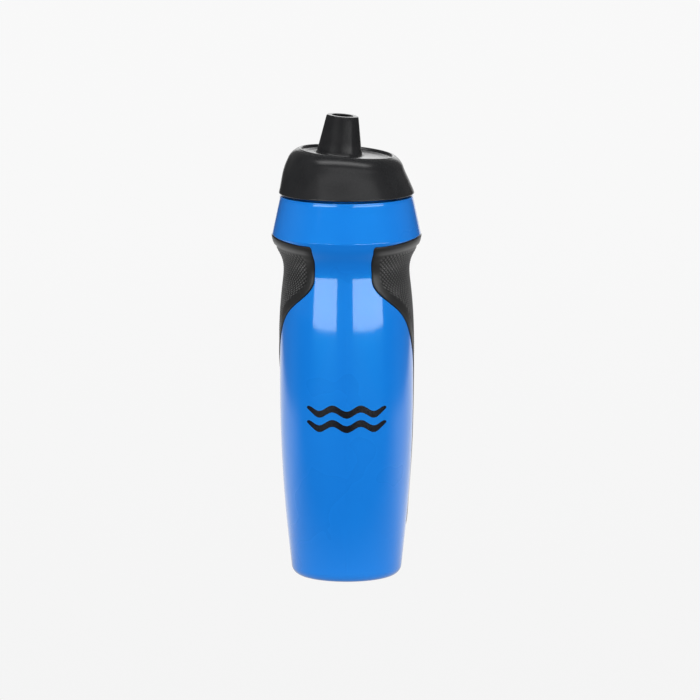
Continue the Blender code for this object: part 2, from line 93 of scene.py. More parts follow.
# Grip: (height, degrees from the front) stations of its front edge.
EDGE_STATIONS = [
    (20.0 * MM, 108.0),
    (24.0 * MM, 100.0),
    (34.0 * MM, 97.4),
    (64.0 * MM, 97.2),
    (92.0 * MM, 96.2),
    (107.0 * MM, 92.0),
    (118.0 * MM, 82.5),
    (128.5 * MM, 72.0),
    (139.0 * MM, 56.0),
    (148.0 * MM, 35.0),
    (153.0 * MM, 28.6),
    (159.0 * MM, 27.5),
    (166.0 * MM, 26.0),
    (170.5 * MM, 25.8),
    (172.2 * MM, 25.9),
    (172.9 * MM, 26.8),
]
GRIP_TOP = 172.9 * MM
GRIP_BOTTOM = 20.0 * MM
GRIP_TOP_RISE = 2.3 * MM
GRIP_BOTTOM_SAG = 6.0 * MM
GRIP_RECESS = 0.9 * MM
GRIP_PROUD = 0.58 * MM
GRIP_UNDER = 0.6 * MM
RISE_START = 155 * MM        # the rows start to bend up towards the grip's top edge here
SAG_START = 48 * MM          # and down towards its bottom edge here
CORNER_ACROSS = 0.62         # share of the half width at which the top edge starts to drop to its corner
LIFT_FADE = 9.0 * MM         # the wall's rows are level again this far above the grip
# Wall beside the grip: millimetres from its edge, and share of the pocket's depth there.
LIP = [(0.60, 0.0), (0.45, 0.0), (0.37, 0.04), (0.32, 0.16), (0.28, 1.0)]
EDGE_STEPS = [0.0, 0.12 * MM, 0.35 * MM, 0.75 * MM]
TOP_BAND = 5.2 * MM
SIDE_BORDER = 4.0 * MM
DOT_HEIGHT = 0.42 * MM
FIELD_LEVEL = 0.16 * MM
BORDER_LEVEL = 0.42 * MM
BAND_BULGE = 0.34 * MM
CREASE = 0.30 * MM
CREASE_WIDTH = 0.45 * MM
BAND_FADE = 4 * MM
BOTTOM_BORDER = 4 * MM
TAIL_TOP = 134 * MM          # below here the border narrows and two lines run along the edge
TAIL_FADE = 22 * MM
EDGE_LINES = (1.5 * MM, 2.9 * MM)
LINE_WIDTH = 0.4 * MM
LINE_DEPTH = 0.16 * MM
EDGE_ROUND = 0.7 * MM
EDGE_SINK = 0.1 * MM         # the skin starts this far inside the wall
# How light the rubber is, from 0 to 1: a plain tone, with a painted highlight on the lower half of the top
# band, points lighter as rubbed rubber and as a painted highlight, and painted shade in the gaps between them.
PLAIN_RUBBER_TONE = 0.36
# painted highlight on the lower half of the top band
BAND_PAINTED_HIGHLIGHT = 0.22
# points: lighter as rubbed rubber and as a painted highlight
POINT_RUB_AND_PAINTED_HIGHLIGHT = 0.62
# gaps between the points: painted shade
GAP_PAINTED_SHADE = -0.2

# Cap.
CAP_STATIONS = [
    (196.6 * MM, 34.25 * MM),
    (201.0 * MM, 33.00 * MM),
    (207.0 * MM, 31.20 * MM),
    (211.2 * MM, 29.50 * MM),
]
SHOULDER_RADIUS = 9.9 * MM
SHOULDER_ANGLES = (18, 64)
RIM = (23.5 * MM, 217.3 * MM)
DISH_EDGE = (22.4 * MM, 215.9 * MM)
DISH_FLOOR = 215.4 * MM
SHELL = 1.5 * MM
CAP_TILT = radians(5.0)
TILT_FULL = 213.0 * MM
TILT_PIVOT = 215.8 * MM
SPOUT_OFFSET = -3.7 * MM
OFFSET_INNER = 13.5 * MM
OFFSET_OUTER = 22.0 * MM
SPOUT_FILLET = 2.2 * MM
SPOUT_BASE = (11.2 * MM, 217.5 * MM)
SPOUT_TIP = (8.2 * MM, 234.7 * MM)
SPOUT_EDGE = 0.9 * MM
SPOUT_TOP = 235.4 * MM
CAP_SHEEN = ((SPOUT_BASE[1], SPOUT_BASE[1] + 5 * MM), (0.5, 0.2))   # heights, specular level: spout is duller
LIP_ROUND = 0.55 * MM
CHIMNEY_BORE = 7.4 * MM
VALVE_BORE = 5.3 * MM
VALVE_SEAT = 225.3 * MM

# Threaded core, from its plate down.
CORE_WALL = 26.6 * MM
PLATE_BOTTOM = 209.6 * MM
PLATE_TOP = 211.0 * MM
GASKET_POCKET = 25.3 * MM
CHIMNEY_RADIUS = 7.1 * MM
FLOW_RADIUS = 4.2 * MM

# Valve insert.
GAP = 0.3 * MM
INSERT_RADIUS = 5.0 * MM
INSERT_BORE = 3.3 * MM
CARRIER_HEIGHT = 4.2 * MM
GROOVE = (1.2 * MM, 2.6 * MM, 4.2 * MM)
O_RING = (4.75 * MM, 0.42 * MM)
DIAPHRAGM = 0.9 * MM
SLIT_SQUARE = 2.15 * MM
SLIT = 0.12 * MM
PETAL_BLUNT = 0.15 * MM
PETAL_ROUND = 0.06 * MM
PETAL_SWING = radians(60)
RETAINER_HEIGHT = 2.9 * MM
RETAINER_MOUTH = 4.3 * MM

# Printed mark on the belly: two waves.
MARK_HEIGHT = 85.5 * MM
MARK_CENTRE = 2.1 * MM
MARK_THICKNESS = 0.085 * MM
WAVE_LENGTH = 43 * MM
WAVE_THICK = 3.6 * MM
WAVE_SWING = 1.5 * MM
WAVE_PITCH = 7.4 * MM
WAVE_CYCLES = 3
WAVE_COLUMNS = 120
WAVE_ROWS = 8

SEGMENTS = 160
SMALL_SEGMENTS = 64


# ---------------------------------------------------------------- curves
def smooth_curve(stations):
    """Natural cubic spline through (x, value) stations, returned as a function of x."""
    xs = np.array([station[0] for station in stations])
    ys = np.array([station[1] for station in stations])
    steps = np.diff(xs)
    slopes = np.diff(ys) / steps
    count = len(xs)
    matrix = np.eye(count)
    right = np.zeros(count)
    for i in range(1, count - 1):
        matrix[i, i - 1] = steps[i - 1]
        matrix[i, i] = 2 * (steps[i - 1] + steps[i])
        matrix[i, i + 1] = steps[i]
        right[i] = 6 * (slopes[i] - slopes[i - 1])
    bends = np.linalg.solve(matrix, right)

    def value(x):
        """The spline at x, held at its end stations."""
        x = min(max(x, xs[0]), xs[-1])
        i = min(int(np.searchsorted(xs, x, side="right")) - 1, count - 2)
        before = x - xs[i]
        after = xs[i + 1] - x
        step = steps[i]
        cubic = (bends[i] * after ** 3 + bends[i + 1] * before ** 3) / (6 * step)
        linear_low = (ys[i] / step - bends[i] * step / 6) * after
        linear_high = (ys[i + 1] / step - bends[i + 1] * step / 6) * before
        return float(cubic + linear_low + linear_high)

    return value


def front_profile(node, low, high):
    """(height, radius) of a CAD node's outward vertices on its front line, between two heights."""
    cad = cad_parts[node]
    found = {}
    for vert in cad.data.vertices:
        x, y, z = vert.co
        if abs(x) > 0.01 * MM or y > 0 or not low <= z <= high:
            continue
        start = Vector((0.002 * MM, -0.2, z))
        hit, place, _, _ = cad.ray_cast(start, Vector((0, 1, 0)))
        if hit and abs(place.y - y) < 0.05 * MM:
            found[round(z, 6)] = -y
    return sorted(found.items())


WALL_STATIONS = front_profile("bottle_body", WALL_LOW - 0.1 * MM, WALL_HIGH - 4 * MM)


def wall_curve():
    """Radius of the wall at a height: one smooth curve up to the crest and another above it."""
    below = [station for station in WALL_STATIONS if station[0] < CREST[0] - CREST_REACH]
    above = [station for station in WALL_STATIONS if station[0] > CREST[0] + CREST_REACH]
    lower = smooth_curve(below + [CREST])
    upper = smooth_curve([CREST] + above + [(WALL_HIGH, SHOULDER_TOP)])
    return lambda height: lower(height) if height < CREST[0] else upper(height)


wall_radius = wall_curve()
edge_angle = smooth_curve(EDGE_STATIONS)
cap_radius = smooth_curve(CAP_STATIONS)


def spread(low, high, count):
    """Evenly spaced values from low to high, both included."""
    return [low + (high - low) * i / (count - 1) for i in range(count)]


def ease(value):
    """Smooth step: 0 at or below 0, 1 at or above 1."""
    value = min(max(value, 0.0), 1.0)
    return value * value * (3 - 2 * value)


def arc(centre, radius, start, end, count):
    """Points of an arc about centre, with angles in degrees from +r towards +z."""
    points = []
    for degrees in spread(start, end, count):
        angle = radians(degrees)
        points.append((centre[0] + radius * cos(angle), centre[1] + radius * sin(angle)))
    return points


def rounded(outline, radius, steps=3):
    """A closed outline with each corner replaced by a small arc, as a list of points."""
    points = []
    for i, corner in enumerate(outline):
        here = Vector(corner)
        before = Vector(outline[i - 1]) - here
        after = Vector(outline[(i + 1) % len(outline)]) - here
        reach = min(radius, 0.45 * before.length, 0.45 * after.length)
        start = here + before.normalized() * reach
        end = here + after.normalized() * reach
        for t in spread(0, 1, steps + 1):
            points.append(tuple(start * (1 - t) ** 2 + here * 2 * t * (1 - t) + end * t ** 2))
    return points


# ---------------------------------------------------------------- making pieces
def add_piece(name, verts, faces, body, nodes, look, sharp_degrees=50, flat_faces=()):
    """Make a mesh piece, shade it smooth, and let it ride its body in place of the CAD nodes."""
    mesh = bpy.data.meshes.new(name)
    mesh.from_pydata([tuple(v) for v in verts], [], faces)
    mesh.validate()
    piece = bpy.data.objects.new(name, mesh)
    bpy.context.scene.collection.objects.link(piece)
    mesh.materials.append(look)
    mesh.shade_smooth()
    mesh.set_sharp_from_angle(angle=radians(sharp_degrees))
    for index in flat_faces:
        mesh.polygons[index].use_smooth = False
    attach(piece, body)
    if nodes:
        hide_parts(*nodes)
    return piece


def ring_faces(rows):
    """Vertices and faces of closed rings laid one after another; a row of one point is a pole."""
    verts = []
    starts = []
    faces = []
    for row in rows:
        starts.append(len(verts))
        verts.extend(row)
    for k in range(len(rows) - 1):
        here, there = starts[k], starts[k + 1]
        count = max(len(rows[k]), len(rows[k + 1]))
        for i in range(count):
            j = (i + 1) % count
            if len(rows[k]) == 1:
                faces.append((here, there + j, there + i))
            elif len(rows[k + 1]) == 1:
                faces.append((here + i, here + j, there))
            else:
                faces.append((here + i, here + j, there + j, there + i))
    return verts, faces


def turned_rows(outline, segments, change=None):
    """Rings of an outline of (radius, height) points turned about Z, then changed point by point."""
    rows = []
    for radius, height in outline:
        count = segments if radius > 1e-6 else 1
        row = []
        for i in range(count):
            angle = 2 * pi * i / segments
            point = Vector((radius * cos(angle), radius * sin(angle), height))
            row.append(change(point) if change else point)
        rows.append(row)
    return rows


def closed_turn(outline, segments, change=None):
    """Vertices and faces of a closed outline turned about Z into a ring-shaped solid."""
    rows = turned_rows(outline, segments, change)
    verts, faces = ring_faces(rows)
    last = len(verts) - segments
    for i in range(segments):
        j = (i + 1) % segments
        faces.append((last + i, last + j, j, i))
    return verts, faces


def thread_bulge(point_angle, height, turns, drop):
    """Height of the thread's ridge at an angle from +X and a height."""
    half_crest = THREAD_CREST / 2
    half_root = THREAD_ROOT / 2
    best = 0.0
    turn = (point_angle / (2 * pi)) % 1.0
    while turn <= turns[1]:
        if turn >= turns[0]:
            nearest_end = min(turn - turns[0], turns[1] - turn)
            away = abs(height - (THREAD_START - drop + LEAD * turn))
            ridge = ease((half_root - away) / (half_root - half_crest))
            best = max(best, ridge * ease(nearest_end / 0.06))
        turn += 1.0
    return best * THREAD_HEIGHT


# ---------------------------------------------------------------- shared surface of wall and grip
def edge_frame(height):
    """Half angle of the blue front at a height, and radians per metre measured square to the grip's edge."""
    height = min(max(height, GRIP_BOTTOM), GRIP_TOP)
    slope = radians(edge_angle(height + MM / 2) - edge_angle(height - MM / 2)) / MM
    return radians(edge_angle(height)), hypot(1 / wall_radius(height), slope)


def lifted(height, across):
    """Height of a row after it has bent up along the grip's top edge and down along its bottom one."""
    across = min(abs(across), 1.0)
    rise = 1 - ease((across - CORNER_ACROSS) / (1 - CORNER_ACROSS))
    near_top = ease((height - RISE_START) / (GRIP_TOP - RISE_START))
    near_top *= 1 - ease((height - GRIP_TOP) / LIFT_FADE)
    near_bottom = ease((SAG_START - height) / (SAG_START - GRIP_BOTTOM))
    near_bottom *= ease((height - WALL_LOW) / (GRIP_BOTTOM - WALL_LOW))
    return height + GRIP_TOP_RISE * rise * near_top - GRIP_BOTTOM_SAG * near_bottom * cos(across * pi / 2)


def wall_point(height, angle, across, offset):
    """Point on the wall, or offset from it, with its row bent by lifted()."""
    z = lifted(height, across)
    radius = wall_radius(z) + offset
    return Vector((radius * sin(angle), -radius * cos(angle), z))


# ---------------------------------------------------------------- bottle
FRONT_COLUMNS = 48
BACK_COLUMNS = 56


def bottle_columns(height):
    """(angle, across, pocket share, seam height) of the right half's columns at a height."""
    edge, per_metre = edge_frame(height)
    radius = wall_radius(min(max(height, WALL_LOW), WALL_HIGH))
    columns = [(beside / radius, 1.0, 0.0, high) for beside, high in SEAM]
    start = SEAM[-1][0] / radius
    stop = edge - LIP[0][0] * MM * per_metre
    for t in spread(0, 1, FRONT_COLUMNS + 1)[1:]:
        columns.append((start + (stop - start) * t, 1.0, 0.0, 0.0))
    for beside, share in LIP[1:]:
        columns.append((edge - beside * MM * per_metre, 1.0, share, 0.0))
    for across in spread(1, 0, BACK_COLUMNS + 1):
        columns.append((pi - across * (pi - edge), across, 1.0, 0.0))
    return columns


def ring_columns(height):
    """Whole ring of columns, with the blue front's columns drawn towards the seam."""
    half = bottle_columns(height)
    edge, _ = edge_frame(height)
    left = [(-angle, across, share, seam) for angle, across, share, seam in half[1:-1]]
    ring = []
    for angle, across, share, seam in half + left[::-1]:
        drawn = SEAM_ANGLE * max(1 - abs(angle) / (0.9 * edge), 0.0)
        ring.append((angle + drawn, across, share, seam * ease((SEAM_TOP - height) / (30 * MM))))
    return ring


def wall_rows():
    """(height, pocket share) of the wall's rows from the base corner to the shoulder's roll."""
    rows = [(h, 0.0) for h in spread(WALL_LOW, GRIP_BOTTOM - 1.2 * MM, 12)]
    rows += [(GRIP_BOTTOM - beside * MM, share) for beside, share in LIP]
    rows += [(h, 1.0) for h in spread(GRIP_BOTTOM, 140 * MM, 72)]
    rows += [(h, 1.0) for h in spread(140 * MM, GRIP_TOP, 38)[1:]]
    rows += [(GRIP_TOP + beside * MM, share) for beside, share in LIP[::-1]]
    rows += [(h, 0.0) for h in spread(GRIP_TOP + 1.0 * MM, CREST_END, 18)]
    rows += [(h, 0.0) for h in spread(CREST_END, WALL_HIGH, 14)[1:]]
    return rows


def level_ring(radius, height, columns, bulge=None):
    """Ring at one height and radius on the given columns, with an optional bulge by angle."""
    if radius < 1e-6:
        return [Vector((0, 0, height))]
    ring = []
    for angle, _, _, _ in columns:
        direction = Vector((sin(angle), -cos(angle), 0))
        extra = bulge(atan2(direction.y, direction.x), height) if bulge else 0.0
        ring.append(direction * (radius + extra) + Vector((0, 0, height)))
    return ring


def neck_bulge(angle, height):
    """Thread on the neck, as a bulge by angle and height."""
    return thread_bulge(angle, height, NECK_TURNS, 0.0)


def underside_outline():
    """Foot from its middle outwards: the hollow, the standing ring and the base corner."""
    ring_out = wall_radius(WALL_LOW) - BASE_CORNER * cos(radians(6))
    outline = [(radius * MM, PUSH_UP * share) for radius, share in HOLLOW]
    outline += [(STANDING_RING - 0.4 * MM, 0.15 * MM), (STANDING_RING + 0.3 * MM, 0.0)]
    return outline + arc((ring_out, BASE_CORNER), BASE_CORNER, -90, -12, 12)


def shoulder_outline():
    """Upright rim at the top of the shoulder, its roll, and the fillet at the neck's foot."""
    rim = wall_radius(WALL_HIGH)
    outline = [(rim, height) for height in spread(SHELF - RIM_ROLL - RIM_FACE, SHELF - RIM_ROLL, 4)]
    outline += arc((rim - RIM_ROLL, SHELF - RIM_ROLL), RIM_ROLL, 15, 90, 6)
    return outline + arc((NECK_RADIUS + NECK_FILLET, SHELF + NECK_FILLET), NECK_FILLET, 270, 180, 5)


def inside_outline():
    """Mouth of the neck and the inside of the bottle, down to the middle of its floor."""
    inner = NECK_RADIUS - NECK_WALL
    outline = arc((NECK_RADIUS - MOUTH_ROUND, NECK_TOP - MOUTH_ROUND), MOUTH_ROUND, 20, 90, 4)
    outline += arc((inner + MOUTH_ROUND, NECK_TOP - MOUTH_ROUND), MOUTH_ROUND, 90, 180, 5)
    outline += [(inner, NECK_TOP - 4 * MM), (inner, SHELF - 1.0 * MM), (inner + 0.8 * MM, SHELF - 2.2 * MM)]
    outline += [(wall_radius(z) - WALL_THICKNESS, z) for z in spread(190 * MM, 9 * MM, 60)]
    outline += [(24.0 * MM, 3.4 * MM), (21.5 * MM, FLOOR + 0.4 * MM), (18.5 * MM, PUSH_UP * 0.6 + FLOOR)]
    return outline + [(10.0 * MM, PUSH_UP * 0.93 + FLOOR), (0.0, PUSH_UP + FLOOR)]


def make_bottle(look):
    """Blow-moulded bottle in one skin: base, wall with the grip's pocket, shoulder, threaded neck, inside."""
    low_columns = ring_columns(WALL_LOW)
    high_columns = ring_columns(WALL_HIGH)
    rows = [level_ring(radius, height, low_columns) for radius, height in underside_outline()]
    for height, row_share in wall_rows():
        row = []
        for angle, across, share, seam in ring_columns(height):
            offset = seam - GRIP_RECESS * min(row_share, share)
            row.append(wall_point(height, angle, across, offset))
        rows.append(row)
    rows += [level_ring(radius, height, high_columns) for radius, height in shoulder_outline()]
    for height in spread(SHELF + 1.1 * MM, NECK_TOP - MOUTH_ROUND, 40):
        rows.append(level_ring(NECK_RADIUS, height, high_columns, neck_bulge))
    rows += [level_ring(radius, height, high_columns) for radius, height in inside_outline()]
    verts, faces = ring_faces(rows)
    return add_piece("bottle", verts, faces, "bottle", ["bottle_body"], look, 40)


# ---------------------------------------------------------------- grip
GRIP_HALF_COLUMNS = 80
GRIP_ROWS = 160
GRIP_CROWDING = 0.17    # how much closer together the rows get towards the bottom


def grip_heights():
    """Heights of the grip's rows from the top down, closer together towards the bottom."""
    heights = [GRIP_TOP - step for step in EDGE_STEPS]
    first, last = heights[-1], GRIP_BOTTOM + EDGE_STEPS[-1]
    for t in spread(0, 1, GRIP_ROWS)[1:]:
        heights.append(first - (first - last) * (t * (1 + GRIP_CROWDING) - GRIP_CROWDING * t * t))
    heights += [GRIP_BOTTOM + step for step in EDGE_STEPS[-2::-1]]
    return heights


def grip_columns(height):
    """(across, distance from the front edge) of the grip's columns at a height, from left to right."""
    edge, per_metre = edge_frame(height)
    half_width = (pi - edge) / per_metre
    half = [(1 - step / half_width, step) for step in EDGE_STEPS]
    start = half[-1][0]
    for t in spread(0, 1, GRIP_HALF_COLUMNS + 1)[1:]:
        across = start * (1 - t)
        half.append((across, (1 - across) * half_width))
    right = [(-across, beside) for across, beside in half[-2::-1]]
    return half + right


def soft_min(a, b, reach):
    """Smaller of two values, rounded where they are within reach of each other."""
    blend = max(reach - abs(a - b), 0.0) / reach
    return min(a, b) - blend * blend * reach / 4


def gauss(value, width):
    """Bell curve of height 1 about 0."""
    return exp(-(value / width) ** 2)


def grip_relief(height, beside):
    """Offset of the rubber's skin from the wall, and how strongly the points stand there."""
    below_top = GRIP_TOP - height
    above_bottom = height - GRIP_BOTTOM
    from_edge = min(beside, below_top, above_bottom)
    tail = ease((TAIL_TOP - height) / TAIL_FADE)
    border = SIDE_BORDER * (1 - 0.25 * tail)
    in_field = soft_min(below_top - TOP_BAND, beside - border, 3.5 * MM)
    in_field = soft_min(in_field, above_bottom - BOTTOM_BORDER, 3.0 * MM)
    along_top = ease((TOP_BAND + BAND_FADE - below_top) / BAND_FADE)
    shelf = BORDER_LEVEL + (GRIP_PROUD - BORDER_LEVEL) * along_top
    reach = (3.4 - 2.2 * along_top) * MM
    level = shelf + (FIELD_LEVEL - shelf) * ease(in_field / reach + 0.35)
    crease = gauss(below_top - TOP_BAND, CREASE_WIDTH) * ease((beside - 2 * MM) / (4 * MM))
    bulge = sin(pi * min(below_top / TOP_BAND, 1.0) ** 1.6) * ease(beside / (3 * MM))
    band = BAND_BULGE * (bulge - 1) * along_top
    level += (band - CREASE * crease) * ease((TOP_BAND + MM - below_top) / MM)
    lines = sum(gauss(beside - line, LINE_WIDTH) for line in EDGE_LINES)
    level -= LINE_DEPTH * lines * tail
    round_off = 1 - min(from_edge / EDGE_ROUND, 1.0)
    level = -EDGE_SINK + (level + EDGE_SINK) * sqrt(1 - round_off ** 2)
    return level, ease(in_field / (1.6 * MM) - 0.1)


def grip_rub_and_painted_light(height, beside, strength, raised):
    """How light the rubber is: points lighter as rubbed rubber and as a painted highlight, painted shade in
    the gaps, and a painted highlight on the lower half of the top band.
    """
    below_top = (GRIP_TOP - height) / TOP_BAND
    # painted highlight on the lower half of the top band
    pale = sin(pi * min(max(below_top * 1.6 - 0.6, 0.0), 1.0)) * ease(beside / (5 * MM))
    return PLAIN_RUBBER_TONE + BAND_PAINTED_HIGHLIGHT * pale + strength * (POINT_RUB_AND_PAINTED_HIGHLIGHT if raised else GAP_PAINTED_SHADE)


def make_grip(look):
    """Rubber grip with a smooth raised top band, a crease under it, and a field of small points."""
    heights = grip_heights()
    verts = []
    strengths = []
    rub_and_painted_light = []
    for i, height in enumerate(heights):
        edge, _ = edge_frame(height)
        for j, (across, beside) in enumerate(grip_columns(height)):
            offset, strength = grip_relief(height, beside)
            raised = (i + j) % 2 == 0
            if raised:
                offset += DOT_HEIGHT * strength
            # lightness per vertex: painted highlight on the points and the band, painted shade in the gaps,
            # and rubbing on the points
            rub_and_painted_light.append(grip_rub_and_painted_light(height, beside, strength, raised))
            angle = pi - across * (pi - edge)
            verts.append(wall_point(height, angle, across, min(offset, GRIP_PROUD)))
            strengths.append(strength)
    width = len(grip_columns(heights[0]))
    faces = []
    flat = []
    for i in range(len(heights) - 1):
        for j in range(width - 1):
            a, b = i * width + j, i * width + j + 1
            c, d = b + width, a + width
            if strengths[a] < 0.25:
                faces.append((a, b, c, d))
                continue
            flat += [len(faces), len(faces) + 1]
            if i % 2 == j % 2:
                faces += [(a, b, d), (b, c, d)]
            else:
                faces += [(a, b, c), (a, c, d)]
    close_grip_back(verts, faces, heights, width)
    piece = add_piece("grip", verts, faces, "bottle", ["grip_panel"], look, 60, flat)
    rub_and_painted_light += [PLAIN_RUBBER_TONE] * (len(verts) - len(rub_and_painted_light))
    # kept as a vertex attribute that the rubber's colour reads: painted highlight and shade, with the rubbing
    piece.data.attributes.new("rub_and_painted_light", "FLOAT", "POINT").data.foreach_set("value", rub_and_painted_light)
    return piece


def close_grip_back(verts, faces, heights, width):
    """Turn the grip's rim down into the pocket and close its underside with long, coarse faces."""
    last = len(heights) - 1
    coarse = sorted(set(list(range(0, last, 12)) + [last]))
    under = {}
    for i, height in enumerate(heights):
        edge, _ = edge_frame(height)
        for j, (across, _) in enumerate(grip_columns(height)):
            if i in coarse or j in (0, width - 1):
                under[i, j] = len(verts)
                angle = pi - across * (pi - edge)
                verts.append(wall_point(height, angle, across, -GRIP_UNDER))
    for i in range(last):
        for j, order in ((0, 1), (width - 1, -1)):
            a, d = i * width + j, (i + 1) * width + j
            faces.append((a, d, under[i + 1, j], under[i, j])[::order])
    for i, order in ((0, -1), (last, 1)):
        for j in range(width - 1):
            a, b = i * width + j, i * width + j + 1
            faces.append((a, b, under[i, j + 1], under[i, j])[::order])
    for upper, lower in zip(coarse, coarse[1:]):
        for j in range(width - 1):
            left = [under[i, j] for i in range(upper, lower + 1)
                    if (i, j) in under and (j == 0 or i in coarse)]
            right = [under[i, j + 1] for i in range(upper, lower + 1)
                     if (i, j + 1) in under and (j + 1 == width - 1 or i in coarse)]
            faces.append(tuple(left + right[::-1]))


# ---------------------------------------------------------------- cap
def tilt_matrix(angle):
    """Rotation towards +X about the line where the cap's top is pivoted."""
    pivot = Matrix.Translation((0, 0, TILT_PIVOT))
    return pivot @ Matrix.Rotation(angle, 4, "Y") @ pivot.inverted()


def tilt_cap(point):
    """Move the spout off centre, then tilt the cap gradually from its level bottom upwards."""
    radius = hypot(point.x, point.y)
    moved = point.copy()
    if point.z > PLATE_TOP:
        moved.x += SPOUT_OFFSET * ease((OFFSET_OUTER - radius) / (OFFSET_OUTER - OFFSET_INNER))
    share = ease((point.z - CAP_BOTTOM) / (TILT_FULL - CAP_BOTTOM))
    return tilt_matrix(CAP_TILT * share) @ moved


SPOUT_FRAME = tilt_matrix(CAP_TILT) @ Matrix.Translation((SPOUT_OFFSET, 0, 0))


def to_spout(point):
    """Place a point made about Z on the spout's leaning axis."""
    return SPOUT_FRAME @ point


def cap_outline():
    """Closed outline of the shell: outside from the lip to the tip, then the bore and the inside."""
    low, high = CAP_STATIONS[0][0], CAP_STATIONS[-1][0]
    lip_radius = cap_radius(low)
    lip = arc((lip_radius - LIP_ROUND, CAP_BOTTOM + LIP_ROUND), LIP_ROUND, -90, 0, 6)
    side = [(cap_radius(z), z) for z in spread(low + 0.2 * MM, high, 16)]
    start = radians(SHOULDER_ANGLES[0])
    centre = (cap_radius(high) - SHOULDER_RADIUS * cos(start), high - SHOULDER_RADIUS * sin(start))
    shoulder = arc(centre, SHOULDER_RADIUS, *SHOULDER_ANGLES, 14)[1:]
    rim = [
        (RIM[0] + 0.75 * MM, RIM[1] - 0.12 * MM),
        (RIM[0] + 0.35 * MM, RIM[1]),
        (RIM[0], RIM[1] - 0.08 * MM),
        (RIM[0] - 0.35 * MM, RIM[1] - 0.4 * MM),
        (DISH_EDGE[0] + 0.3 * MM, DISH_EDGE[1] + 0.4 * MM),
        DISH_EDGE,
        (DISH_EDGE[0] - 0.9 * MM, DISH_FLOOR + 0.25 * MM),
        (DISH_EDGE[0] - 2.6 * MM, DISH_FLOOR + 0.1 * MM),
    ]
    fillet_centre = (SPOUT_BASE[0] + SPOUT_FILLET, DISH_FLOOR + SPOUT_FILLET)
    fillet = arc(fillet_centre, SPOUT_FILLET, 270, 188, 9)
    base, top = SPOUT_BASE, SPOUT_TIP
    taper = [
        (base[0] + (top[0] - base[0]) * t, base[1] + (top[1] - base[1]) * t)
        for t in spread(0.1, 0.92, 6)
    ]
    tip = arc((SPOUT_TIP[0] - SPOUT_EDGE, SPOUT_TOP - SPOUT_EDGE), SPOUT_EDGE, 10, 90, 7)
    bore = arc((VALVE_BORE + 0.4 * MM, SPOUT_TOP - 0.4 * MM), 0.4 * MM, 90, 180, 5)
    bore += [(VALVE_BORE, VALVE_SEAT), (CHIMNEY_BORE, VALVE_SEAT), (CHIMNEY_BORE, DISH_FLOOR - SHELL)]
    underside = [(OFFSET_OUTER, DISH_FLOOR - SHELL)]
    underside += arc(centre, SHOULDER_RADIUS - SHELL, 52, SHOULDER_ANGLES[0], 8)
    inside = [(cap_radius(z) - SHELL, z - 0.4 * MM) for z in spread(high, low + 1.0 * MM, 8)[1:]]
    inner_lip = arc((lip_radius - SHELL + 0.4 * MM, CAP_BOTTOM + 0.4 * MM), 0.4 * MM, 180, 270, 4)
    return lip + side + shoulder + rim + fillet + taper + tip + bore + underside + inside + inner_lip


def make_cap(look):
    """Outer moulding of the cap with its dished, sloping top and its leaning spout."""
    verts, faces = closed_turn(cap_outline(), SEGMENTS, tilt_cap)
    return add_piece("cap", verts, faces, "cap", ["cap_shell"], look, 50)


def core_skirt_outline():
    """Closed outline of the core's skirt and plate, with a hole where the chimney passes."""
    hole = CHIMNEY_RADIUS - 1.2 * MM
    outside = CORE_OUTSIDE
    outline = [
        (hole, PLATE_TOP),
        (25.2 * MM, PLATE_TOP),
        (26.4 * MM, PLATE_TOP - 1.0 * MM),
        (outside - 0.3 * MM, PLATE_TOP - 3.8 * MM),
        (outside, PLATE_TOP - 6.2 * MM),
        (outside, CORE_BOTTOM + 0.3 * MM),
        (outside - 0.3 * MM, CORE_BOTTOM),
        (CORE_WALL + 0.3 * MM, CORE_BOTTOM),
    ]
    outline += [(CORE_WALL, z) for z in spread(CORE_BOTTOM + 0.3 * MM, NECK_TOP - 1.1 * MM, 36)]
    outline += [
        (GASKET_POCKET, NECK_TOP - 0.1 * MM),
        (GASKET_POCKET, PLATE_BOTTOM),
        (hole, PLATE_BOTTOM),
    ]
    return outline


def cut_core_thread(point):
    """Raise the thread on the inside wall of the core."""
    radius = hypot(point.x, point.y)
    if abs(radius - CORE_WALL) > 0.01 * MM:
        return point
    bulge = thread_bulge(atan2(point.y, point.x), point.z, CAP_TURNS, CAP_THREAD_DROP)
    share = (radius - bulge) / radius
    return Vector((point.x * share, point.y * share, point.z))


def make_core(look):
    """Threaded inner moulding: a skirt and plate, and the leaning chimney that stands through it."""
    verts, faces = closed_turn(core_skirt_outline(), SEGMENTS, cut_core_thread)
    add_piece("core", verts, faces, "cap", ["cap_core"], look, 40)
    low, high = PLATE_BOTTOM - 0.1 * MM, VALVE_SEAT - GAP
    outline = [(FLOW_RADIUS, low), (CHIMNEY_RADIUS, low), (CHIMNEY_RADIUS, high), (FLOW_RADIUS, high)]
    verts, faces = closed_turn(rounded(outline, 0.25 * MM), SMALL_SEGMENTS, to_spout)
    add_piece("core_chimney", verts, faces, "cap", [], look, 50)


def make_gasket(look):
    """Silicone ring between the neck's top and the core's plate."""
    low, high = GASKET_LOW.z, GASKET_HIGH.z
    outer = GASKET_HIGH.x
    inner = NECK_RADIUS - NECK_WALL
    outline = rounded([(inner, low), (outer, low), (outer, high), (inner, high)], 0.3 * MM)
    verts, faces = closed_turn(outline, SEGMENTS)
    return add_piece("gasket", verts, faces, "cap_seal", ["cap_gasket"], look, 60)


